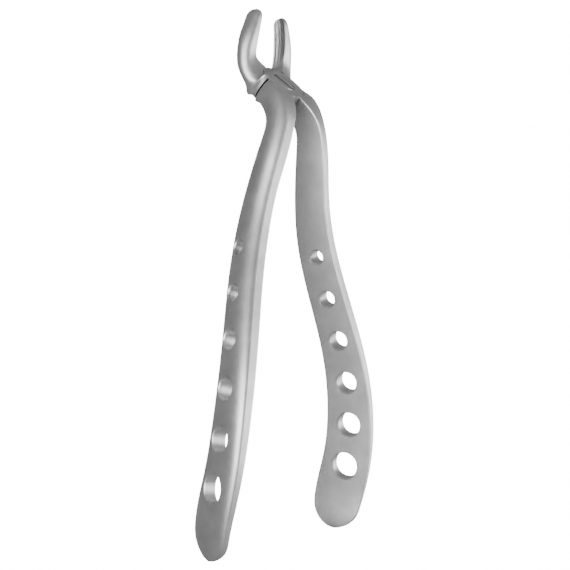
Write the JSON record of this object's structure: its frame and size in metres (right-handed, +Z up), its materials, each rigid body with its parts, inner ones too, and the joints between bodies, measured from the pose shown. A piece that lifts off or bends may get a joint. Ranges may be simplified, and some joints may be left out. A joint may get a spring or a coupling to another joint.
{
  "type": "extraction forceps",
  "caption": "Upper extraction forceps: crossed halves with a lap joint, slotted pivot screw, hollow beaks and bowed, pierced handles.",
  "frame": {"origin": "on the table, under the middle of the tool as it lies open on its back", "axes": "+Y from the handles to the beaks, +X across the handles towards the front half's handle, +Z up off the table"},
  "size_m": [0.07, 0.1745, 0.0237],
  "materials": {
    "forged_steel": "satin, bead-blasted stainless steel with softened, slightly brighter edges",
    "screw_steel": "satin stainless steel, ground flush with the joint"
  },
  "bodies": {
    "rear_body": {"rear_half": "forged_steel", "pivot_screw": "screw_steel"},
    "front_body": {"front_half": "forged_steel"}
  },
  "joints": [
    {"name": "pivot_hinge", "type": "hinge", "parent": "rear_body", "child": "front_body", "pos_m": [0, 0.06002, 0.00898], "axis": [0, 0.6884, 0.7254], "range_deg": [-25, 3]}
  ]
}
